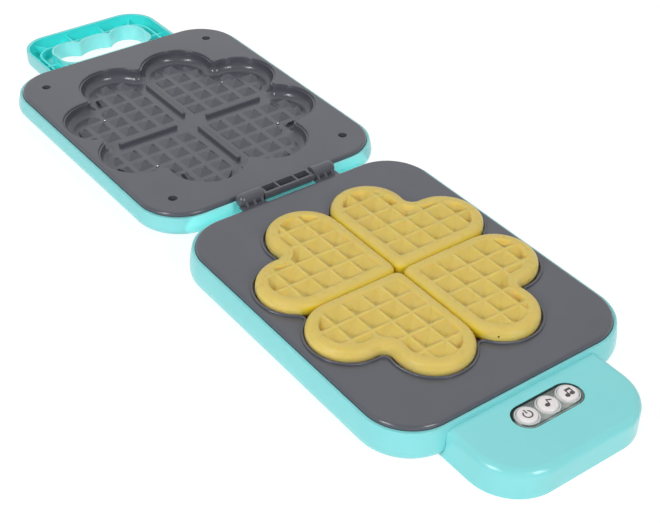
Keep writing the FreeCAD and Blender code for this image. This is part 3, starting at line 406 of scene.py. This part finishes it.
def place_of(tree, output="Object"):
    """The three numbers of the place, or of the normal, that is being shaded."""
    place = tree.nodes.new("ShaderNodeTexCoord")
    split = tree.nodes.new("ShaderNodeSeparateXYZ")
    tree.links.new(place.outputs[output], split.inputs["Vector"])
    return split.outputs["X"], split.outputs["Y"], split.outputs["Z"]


def away_from(tree, value, middle_mm):
    return number(tree, "ABSOLUTE", number(tree, "SUBTRACT", value, middle_mm * MM), 0)


def above(tree, value, low_mm, high_mm):
    return ramp_up(tree, value, low_mm * MM, high_mm * MM)


def below(tree, value, low_mm, high_mm):
    return number(tree, "SUBTRACT", 1, above(tree, value, low_mm, high_mm))


def squared(tree, value):
    return number(tree, "MULTIPLY", value, value)


def length_of(tree, *sides):
    """How long a line is from its runs along two or three axes."""
    total = squared(tree, sides[0])
    for side in sides[1:]:
        total = number(tree, "ADD", total, squared(tree, side))
    return number(tree, "SQRT", total, 0)


def beyond(tree, value, start_mm):
    return number(tree, "MAXIMUM", number(tree, "SUBTRACT", value, start_mm * MM), 0)


print("the aqua finish is painted on", aqua.users, "pieces")

# %% [markdown]
# Where the light gets in. The aqua shells are thin, so the walls of the handle and of the hinge gap look
# lit from within, and the deep channel of the handle looks the strongest colour of the toy. A shader that
# scatters light could do it, but slowly and with noise, so that light is painted instead: the base colour
# is painted lighter aqua on those walls and deeper aqua in the channel, and the hinge gap gets a faint
# painted glow.

# %% Thin walls with painted glow
HANDLE_FROM = 209
HANDLE_CORNER = (29.5, 238.0)
SKIN = (18.4, 19.0)
UNDER = (-0.6, -0.2)
CHANNEL_X = 34.5
CHANNEL_Y = 240
HINGE_HALF = 7.0
FADE = 1.5
# painted light: colours and a glow for walls that look lit through the thin shell
CHANNEL_PAINTED_GLOW = (0.08, 0.9, 0.88)
PAINTED_GLOW_AQUA = (0.31, 0.91, 0.9)
GAP_PAINTED_GLOW = 0.06

tree = aqua.node_tree
x, y = place_of(tree)[:2]
x = away_from(tree, x, 0)
to_skin = length_of(tree, beyond(tree, x, HANDLE_CORNER[0]), beyond(tree, y, HANDLE_CORNER[1]))
not_under = ramp_up(tree, place_of(tree, "Normal")[2], *UNDER)
in_skin = number(tree, "MULTIPLY", below(tree, to_skin, *SKIN), not_under)
in_handle = number(tree, "MULTIPLY", above(tree, y, HANDLE_FROM, HANDLE_FROM + FADE), in_skin)
in_gap = below(tree, away_from(tree, y, 0), HINGE_HALF - FADE, HINGE_HALF)
# painted light: the handle walls and the hinge gap are painted a lighter aqua
deepen(aqua, number(tree, "MAXIMUM", in_handle, in_gap), PAINTED_GLOW_AQUA)
# painted glow: the hinge gap gets a faint emission, though it is no lamp
glow = shader_of(aqua).inputs
glow["Emission Color"].default_value = (*PAINTED_GLOW_AQUA, 1)
tree.links.new(number(tree, "MULTIPLY", in_gap, GAP_PAINTED_GLOW), glow["Emission Strength"])
aside = above(tree, x, CHANNEL_X, CHANNEL_X + FADE)
in_channel = number(tree, "MAXIMUM", aside, above(tree, y, CHANNEL_Y, CHANNEL_Y + FADE))
# painted light: the channel of the handle is painted a deeper aqua
deepen(aqua, number(tree, "MULTIPLY", in_channel, in_handle), CHANNEL_PAINTED_GLOW)
print("thin walls:", len(tree.nodes), "nodes in the aqua finish")

# %% [markdown]
# The vinyl of the waffles. Where two hearts lean together the light bounces from yellow to yellow, and
# the valley between them is painted deep gold for it, as painted light; the steep sides are painted
# paler, as painted light. One heart also has a tiny hole on its front, and a small dot of painted shade
# stands for its dark.

# %% Painted light and shade on the vinyl
PLATE_Y = -106.9
VALLEY = (1.0, 5.2)
VALLEY_Z = (25.5, 28.9)
VALLEY_PAINTED_BOUNCE = (0.8, 0.61, 0.03)
SIDE_SLOPE = (0.15, 0.6)
SIDE_PAINTED_LIGHT = (0.84, 0.66, 0.2)
MARK = (7.9, -178.7, 25.7)
MARK_R = (0.5, 0.8)
MARK_PAINTED_SHADE = (0.1, 0.07, 0.01)

tree = waffle.node_tree
x, y, z = place_of(tree)
lean = place_of(tree, "Normal")[2]
on_side = number(tree, "SUBTRACT", 1, ramp_up(tree, lean, *SIDE_SLOPE))
# painted light: the steep sides of the waffle are painted paler
deepen(waffle, on_side, SIDE_PAINTED_LIGHT)
to_valley = number(tree, "MINIMUM", away_from(tree, x, 0), away_from(tree, y, PLATE_Y))
in_valley = number(tree, "MULTIPLY", below(tree, to_valley, *VALLEY), below(tree, z, *VALLEY_Z))
# painted light: the valley between the hearts is painted deep gold for the bounced light
deepen(waffle, in_valley, VALLEY_PAINTED_BOUNCE)
to_mark = length_of(tree, *(away_from(tree, value, at) for value, at in zip((x, y, z), MARK)))
# painted shade: a small dark dot for the shade in a tiny hole
deepen(waffle, below(tree, to_mark, *MARK_R), MARK_PAINTED_SHADE)
print("vinyl:", len(tree.nodes), "nodes in the waffle finish")

# %% [markdown]
# The window. A clear plate lets the pale pad under it show, but its edges send the eye sideways through
# the plate into the dark under the cover, so the rim looks green-black, widest at the back. Bent light
# could be traced through the plate, but it would leave the inside black and full of noise, so the plate
# is a thin veil instead, and the distance from its middle line thickens it. That dark is painted shade on
# the rim and on a thin line in front, and a painted light ring goes round each cap.

# %% Window rim with painted light and shade
WINDOW_AT = (-0.3, -224.8)
WINDOW_SPINE = 13.8
BUTTON_PITCH = 13.85
CLEAR_SHINE = 0.12
VEIL = 0.3
SOFT = 0.3
# painted light and shade: a light ring round each cap and dark lines round the rim
COLLAR = (5.7, 6.5)
COLLAR_PAINTED_LIGHT = (0.85, 0.88, 0.86)
FRONT_LINE = (6.7, 7.1)
FRONT_HALF = (-4, -1.5)
LINE_PAINTED_SHADE = (0.03, 0.13, 0.12)
OUTER_RIM = (7.9, 8.1)
RIM_PAINTED_SHADE = (0.03, 0.13, 0.125)
BACK_RIM = (6.8, 7.1)
BACK_HALF = (-1.5, 1.5)
BACK_PAINTED_SHADE = (0.004, 0.022, 0.022)


def band(tree, value, low_mm, high_mm):
    rises = above(tree, value, low_mm - SOFT, low_mm)
    return number(tree, "MULTIPLY", rises, below(tree, value, high_mm, high_mm + SOFT))


tree = clear.node_tree
window = shader_of(clear).inputs
window["Specular IOR Level"].default_value = CLEAR_SHINE
x, y = place_of(tree)[:2]
x = away_from(tree, x, WINDOW_AT[0])
y = number(tree, "SUBTRACT", y, WINDOW_AT[1] * MM)
from_spine = length_of(tree, beyond(tree, x, WINDOW_SPINE), y)
from_cap = length_of(tree, number(tree, "MINIMUM", x, away_from(tree, x, BUTTON_PITCH)), y)
back_rim = number(tree, "MULTIPLY", above(tree, from_spine, *BACK_RIM), above(tree, y, *BACK_HALF))
front_line = number(tree, "MULTIPLY", band(tree, from_spine, *FRONT_LINE), below(tree, y, *FRONT_HALF))
veil = VEIL
# painted light and shade mixed into the clear finish, each made more solid where it lies
for share, colour, cover in (
    (band(tree, from_cap, *COLLAR), COLLAR_PAINTED_LIGHT, 0.7),
    (front_line, LINE_PAINTED_SHADE, 0.75),
    (above(tree, from_spine, *OUTER_RIM), RIM_PAINTED_SHADE, 0.9),
    (back_rim, BACK_PAINTED_SHADE, 1.0),
):
    deepen(clear, share, colour)
    veil = number(tree, "MAXIMUM", number(tree, "MULTIPLY", share, cover), veil)
tree.links.new(veil, window["Alpha"])
print("window:", len(tree.nodes), "nodes in the clear finish")

# %% [markdown]
# Drawing an outline. On the bench a shape like a heart is drawn with a compass and a rule. Here the
# compass is the spin tool and the rule is an extrude: a plane is merged to one vertex, and that
# vertex is dragged along lines and swung round centres until it comes home.

# %% Drawing an outline
ARC_STEP = 6.0
MERGE = 0.005 * MM


def mm(x, y, z=0.0):
    return Vector((x, y, z)) * MM


def new_piece(name):
    bpy.ops.object.select_all(action="DESELECT")
    bpy.ops.mesh.primitive_plane_add(size=MM)
    piece = bpy.context.object
    piece.name = name
    bpy.ops.object.mode_set(mode="EDIT")
    bpy.ops.mesh.select_mode(type="VERT")
    bpy.ops.mesh.select_all(action="SELECT")
    bpy.ops.mesh.delete(type="VERT")
    return piece


def start_at(x, y, z):
    bpy.ops.mesh.primitive_plane_add(size=MM)
    bpy.ops.mesh.merge(type="CENTER")
    bpy.ops.transform.translate(value=mm(x, y, z))


def line(dx, dy):
    bpy.ops.mesh.extrude_region_move(TRANSFORM_OT_translate={"value": mm(dx, dy)})


def arc(x, y, z, degrees):
    """Swing the last vertex round a centre; positive degrees are anticlockwise from above."""
    steps = max(3, round(abs(degrees) / ARC_STEP))
    bpy.ops.mesh.spin(steps=steps, angle=-math.radians(degrees), center=mm(x, y, z), axis=(0, 0, 1))


def fill_and_raise(height):
    bpy.ops.mesh.select_linked()
    bpy.ops.mesh.remove_doubles(threshold=MERGE)
    bpy.ops.mesh.edge_face_add()
    bpy.ops.mesh.normals_make_consistent(inside=False)
    bpy.ops.mesh.extrude_region_move(TRANSFORM_OT_translate={"value": mm(0, 0, height)})


def pick_faces(piece, wanted):
    """Select only the faces that wanted says yes to, in edit mode."""
    bpy.ops.mesh.select_mode(type="FACE")
    bpy.ops.mesh.select_all(action="DESELECT")
    bpy.ops.object.mode_set(mode="OBJECT")
    for face in piece.data.polygons:
        face.select = wanted(face)
    bpy.ops.object.mode_set(mode="EDIT")


def close_piece():
    bpy.ops.mesh.select_all(action="SELECT")
    bpy.ops.mesh.normals_make_consistent(inside=False)
    bpy.ops.object.mode_set(mode="OBJECT")


print("outlines: arcs in steps of", ARC_STEP, "degrees")

# %% [markdown]
# The heart. Each waffle is two round lobes that meet in a small notch on the outside, with two
# straight sides that run to a blunt tip in the middle of the plate. The notch is a fillet between
# the two lobes, so its centre is where both lobes, grown by its radius, cross.

# %% Heart outline
GAP = 0.12
LOBE_R = 22.6
LOBE_A = Vector((52.0, GAP + LOBE_R))
LOBE_B = Vector((GAP + LOBE_R, 55.4))
TIP_R = 6.0
TIP_MIN = 1.5
NOTCH_R = 5.2


def bearing(start, end):
    return math.degrees(math.atan2(end.y - start.y, end.x - start.x))


def draw_heart(inset, z):
    """The outline of the waffle in the +X +Y quarter, made smaller all round by inset."""
    side = GAP + inset
    tip = max(TIP_R - inset, TIP_MIN)
    across = LOBE_B - LOBE_A
    rise = math.sqrt((LOBE_R + NOTCH_R) ** 2 - (across.length / 2) ** 2)
    notch = (LOBE_A + LOBE_B) / 2 + Vector((across.y, -across.x)).normalized() * rise
    leave_a = bearing(LOBE_A, notch)
    reach_b = bearing(LOBE_B, notch)
    start_at(side + tip, PLATE_Y + side, z)
    line(LOBE_A.x - side - tip, 0)
    arc(LOBE_A.x, PLATE_Y + LOBE_A.y, z, leave_a + 90)
    arc(notch.x, PLATE_Y + notch.y, z, reach_b - leave_a)
    arc(LOBE_B.x, PLATE_Y + LOBE_B.y, z, 180 - reach_b)
    line(0, side + tip - LOBE_B.y)
    arc(side + tip, PLATE_Y + side + tip, z, 90)


print("heart across the lobes:", round(LOBE_A.x + LOBE_R - GAP, 1), "mm")

# %% [markdown]
# One waffle. The toy waffle is soft vinyl cast in one piece, so every edge is round: the rim turns
# over in a wide radius and the crests between the pits are only as sharp as poured vinyl gets.
# The heart is raised to its height and its top edge beveled. The pits are four-sided cones, point
# down, on the waffle grid. They are kept inside a smaller heart, which leaves the plain border.

# %% Waffle body and pits
WAFFLE_LOW = 20.45
WAFFLE_TOP = 29.0
WAFFLE_ROUND = 4.0
WAFFLE_FOOT = 2.4
WAFFLE_RIM = 7.2
GRID_FIRST = (12.3, 13.4)
GRID_PITCH = (13.2, 13.55)
GRID_COUNT = 5
PIT_W = 12.4
PIT_FLOOR = 1.2
PIT_DEPTH = 5.2
PIT_OVER = 0.1


def cut_with(piece, tool, operation):
    bpy.ops.object.select_all(action="DESELECT")
    bpy.context.view_layer.objects.active = piece
    piece.select_set(True)
    bpy.ops.object.modifier_add(type="BOOLEAN")
    modifier = piece.modifiers[-1]
    modifier.operation = operation
    modifier.object = tool
    modifier.solver = "EXACT"
    bpy.ops.object.modifier_apply(modifier=modifier.name)
    bpy.data.objects.remove(tool)


first_waffle = new_piece("soft_waffle_rear_right")
draw_heart(0, WAFFLE_LOW)
fill_and_raise(WAFFLE_TOP - WAFFLE_LOW)
bpy.ops.mesh.select_mode(type="EDGE")
bpy.ops.mesh.bevel(offset=WAFFLE_ROUND * MM, segments=6, affect="EDGES")
pick_faces(first_waffle, lambda face: face.center.z < WAFFLE_LOW * MM + MERGE)
bpy.ops.mesh.select_mode(type="EDGE")
bpy.ops.mesh.bevel(offset=WAFFLE_FOOT * MM, segments=4, affect="EDGES")
close_piece()

inner_heart = new_piece("inner_heart")
draw_heart(WAFFLE_RIM, WAFFLE_LOW)
fill_and_raise(2 * (WAFFLE_TOP - WAFFLE_LOW))
close_piece()

slope = (PIT_W - PIT_FLOOR) / PIT_DEPTH
pits = new_piece("pits")
for i in range(GRID_COUNT):
    for j in range(GRID_COUNT):
        x = GRID_FIRST[0] + i * GRID_PITCH[0]
        y = PLATE_Y + GRID_FIRST[1] + j * GRID_PITCH[1]
        bpy.ops.mesh.primitive_cone_add(
            vertices=4,
            radius1=PIT_FLOOR / math.sqrt(2) * MM,
            radius2=(PIT_W + slope * PIT_OVER) / math.sqrt(2) * MM,
            depth=(PIT_DEPTH + PIT_OVER) * MM,
            location=mm(x, y, WAFFLE_TOP + (PIT_OVER - PIT_DEPTH) / 2),
            rotation=(0, 0, math.radians(45)),
        )
close_piece()
cut_with(pits, inner_heart, "INTERSECT")
cut_with(first_waffle, pits, "DIFFERENCE")
print("waffle with sharp pits:", len(first_waffle.data.polygons), "faces")

# %% [markdown]
# Softening. A fine voxel remesh turns the cut heart into even small squares, and a few passes of
# smoothing round every crest and pit corner at once, as the flow of the vinyl does.

# %% Soft waffle
VOXEL = 0.45
SOFT_PASSES = 18
SOFT_SHARE = 0.5

first_waffle.data.remesh_voxel_size = VOXEL * MM
bpy.ops.object.voxel_remesh()
bpy.ops.object.modifier_add(type="SMOOTH")
soften = first_waffle.modifiers[-1]
soften.factor = SOFT_SHARE
soften.iterations = SOFT_PASSES
bpy.ops.object.modifier_apply(modifier=soften.name)
bpy.ops.object.shade_smooth()
print("soft waffle:", len(first_waffle.data.polygons), "faces")

# %% [markdown]
# Four waffles. The other three are mirror images about the plate's two middle lines. Each is a full
# copy with its own mesh, turned over in edit mode, and then its normals are made to face out again.

# %% Four waffles


def mirrored_copy(source, name, across_x, across_y):
    bpy.ops.object.select_all(action="DESELECT")
    bpy.context.view_layer.objects.active = source
    source.select_set(True)
    bpy.ops.object.duplicate()
    piece = bpy.context.object
    piece.name = name
    bpy.ops.object.mode_set(mode="EDIT")
    bpy.ops.mesh.select_all(action="SELECT")
    bpy.ops.transform.resize(value=(across_x, across_y, 1), center_override=mm(0, PLATE_Y))
    close_piece()
    return piece


def finish_piece(piece, node, body, finish):
    piece.data.materials.clear()
    piece.data.materials.append(finish)
    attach(piece, body)
    if node:
        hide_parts(node)


waffles = {
    "waffle_rear_right": first_waffle,
    "waffle_rear_left": mirrored_copy(first_waffle, "soft_waffle_rear_left", -1, 1),
    "waffle_front_right": mirrored_copy(first_waffle, "soft_waffle_front_right", 1, -1),
    "waffle_front_left": mirrored_copy(first_waffle, "soft_waffle_front_left", -1, -1),
}
for node, piece in waffles.items():
    finish_piece(piece, node, node, waffle)
print("waffles:", [piece.name for piece in waffles.values()])

# %% [markdown]
# Buttons. Each cap is moulded white, with a flange that keeps it under the clear window and a soft
# round edge where a finger meets it. It starts as the flange, a cylinder: the top is inset to the
# cap's width, pulled up to its height and beveled.

# %% Buttons
FLANGE_H = 1.5
CAP_R = 5.5
CAP_EDGE = 1.2
UPWARD = 0.9
CREASE = math.radians(40)


def faces_up(face):
    return face.normal.z > UPWARD


def shape_button(node):
    low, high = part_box(node)
    middle = (low + high) / 2
    flange_r = (high.x - low.x) / 2
    flange_h = FLANGE_H * MM
    bpy.ops.object.select_all(action="DESELECT")
    bpy.ops.mesh.primitive_cylinder_add(
        vertices=72,
        radius=flange_r,
        depth=flange_h,
        location=(middle.x, middle.y, low.z + flange_h / 2),
    )
    cap = bpy.context.object
    cap.name = node.replace("button", "cap")
    bpy.ops.object.transform_apply()
    bpy.ops.object.mode_set(mode="EDIT")
    pick_faces(cap, faces_up)
    bpy.ops.mesh.inset(thickness=flange_r - CAP_R * MM)
    lift = (0, 0, high.z - low.z - flange_h)
    bpy.ops.mesh.extrude_region_move(TRANSFORM_OT_translate={"value": lift})
    bpy.ops.mesh.bevel(offset=CAP_EDGE * MM, segments=6, affect="EDGES")
    close_piece()
    bpy.ops.object.shade_smooth_by_angle(angle=CREASE)
    finish_piece(cap, node, node, white_cap)
    return Vector((middle.x, middle.y, high.z)) / MM


tops = {node: shape_button(node) for node in ("power_button", "note_button", "melody_button")}
print("cap tops in mm:", {node: [round(c, 2) for c in top] for node, top in tops.items()})

# %% [markdown]
# The signs on the caps look printed in dark ink: the power sign, one note and two beamed notes.
# A print could be a mask in the cap's finish, but a thin raised skin keeps its edge crisp at any
# distance. Each sign is drawn with the same compass and rule as the heart, over its own cap.

# %% Power sign
INK_H = 0.08
RING_R = 2.75
RING_W = 0.75
RING_DROP = 0.2
RING_GAP = 33
BAR = (0.4, 3.1)


def rule_outline(at, points):
    """A closed outline of straight lines, in millimetres from the middle of a cap."""
    start_at(at.x + points[0][0], at.y + points[0][1], at.z)
    for here, there in zip(points, points[1:] + points[:1]):
        line(there[0] - here[0], there[1] - here[1])
    fill_and_raise(INK_H)


def finish_sign(sign, node):
    bpy.ops.object.shade_flat()
    finish_piece(sign, None, node, ink)


ink = moulded("sign_ink", (0.045, 0.04, 0.042), (0.065, 0.058, 0.06), 2, (0.4, 0.55), 0.3, 0.005)
at = tops["power_button"]
ring = Vector((at.x, at.y - RING_DROP))
start = math.radians(90 + RING_GAP)
end = math.radians(90 - RING_GAP)
power_sign = new_piece("power_sign")
start_at(ring.x + RING_R * math.cos(start), ring.y + RING_R * math.sin(start), at.z)
arc(ring.x, ring.y, at.z, 360 - 2 * RING_GAP)
line(-RING_W * math.cos(end), -RING_W * math.sin(end))
arc(ring.x, ring.y, at.z, 2 * RING_GAP - 360)
line(RING_W * math.cos(start), RING_W * math.sin(start))
fill_and_raise(INK_H)
half = RING_W / 2
rule_outline(at, [(-half, BAR[0]), (half, BAR[0]), (half, BAR[1]), (-half, BAR[1])])
close_piece()
finish_sign(power_sign, "power_button")
print("power sign:", len(power_sign.data.polygons), "faces")

# %% [markdown]
# The notes. A note head is a disc squeezed to an ellipse. Stems, flag and beam are ruled outlines.
# Heads and stems are joined by a boolean, so that each sign is one clean skin.

# %% Note signs
HEAD_W = 2.9
HEAD_H = 2.4


def note_head(at, x, y):
    bpy.ops.object.select_all(action="DESELECT")
    bpy.ops.mesh.primitive_cylinder_add(
        vertices=32,
        radius=HEAD_W / 2 * MM,
        depth=INK_H * MM,
        location=mm(at.x + x, at.y + y, at.z + INK_H / 2),
    )
    head = bpy.context.object
    head.scale.y = HEAD_H / HEAD_W
    bpy.ops.object.transform_apply()
    return head


def note_sign(name, node, strokes, heads):
    at = tops[node]
    sign = new_piece(name)
    rule_outline(at, strokes)
    close_piece()
    for x, y in heads:
        cut_with(sign, note_head(at, x, y), "UNION")
    finish_sign(sign, node)
    return sign


FLAG = [(-0.35, -0.9), (0.4, -0.9), (0.75, 1.5), (2.9, 0.5), (3.2, 1.3), (0.3, 2.6)]
FLAG_HEAD = [(-1.3, -1.0)]
BEAM = [
    (-1.2, -1.6), (-0.5, -1.6), (-0.5, 0.9), (1.9, 0.9),
    (1.9, -1.5), (2.6, -1.5), (2.6, 2.2), (-1.2, 2.2),
]
BEAM_HEADS = [(-1.9, -1.7), (1.2, -1.6)]
signs = [
    note_sign("note_sign", "note_button", FLAG, FLAG_HEAD),
    note_sign("melody_sign", "melody_button", BEAM, BEAM_HEADS),
]
print("signs:", [sign.name for sign in signs])

# %% [markdown]
# Peg ends. Four small bright dots sit on the floor of the lid, taken here for the ends of steel pegs.
# A dot could be a mask in the plate's finish, but metal has to catch the light, so each is a short rod
# beveled to a low dome and let into the floor. Its finish is bright metal in the middle, and painted
# shade darkens it round the edge.

# %% Peg ends
PEG_AT = (45.3, 33.3)
PEG_R = 0.95
PEG_RISE = 0.45
PEG_SUNK = 0.3
PEG_DOME = 0.27
PEG_BRIGHT = (0.5, 0.75)
PEG_EDGE_SHADE = (0.03, 0.03, 0.035)
LID_FLOOR = (13.8, -0.01344)

bright = moulded("peg_steel", (0.9, 0.9, 0.9), (0.95, 0.95, 0.95), 2, (0.2, 0.3), 0.3, 0.002)
shader_of(bright).inputs["Metallic"].default_value = 1.0
tree = bright.node_tree
x, y = place_of(tree)[:2]
run = number(tree, "SUBTRACT", away_from(tree, x, 0), PEG_AT[0] * MM)
rise = number(tree, "SUBTRACT", away_from(tree, y, -PLATE_Y), PEG_AT[1] * MM)
# painted shade: the peg finish turns dark round the edge of each dot
deepen(bright, above(tree, length_of(tree, run, rise), *PEG_BRIGHT), PEG_EDGE_SHADE)

pegs = new_piece("peg_ends")
for side_x in (-1, 1):
    for side_y in (-1, 1):
        peg_y = side_y * PEG_AT[1] - PLATE_Y
        peg_z = LID_FLOOR[0] + LID_FLOOR[1] * peg_y
        bpy.ops.mesh.primitive_cylinder_add(
            vertices=24,
            radius=PEG_R * MM,
            depth=(PEG_RISE + PEG_SUNK) * MM,
            location=mm(side_x * PEG_AT[0], peg_y, peg_z + (PEG_RISE - PEG_SUNK) / 2),
        )
pick_faces(pegs, faces_up)
bpy.ops.mesh.bevel(offset=PEG_DOME * MM, segments=4, affect="EDGES")
close_piece()
bpy.ops.object.shade_smooth_by_angle(angle=CREASE)
finish_piece(pegs, None, "lid", bright)
print("pegs:", len(pegs.data.polygons), "faces")
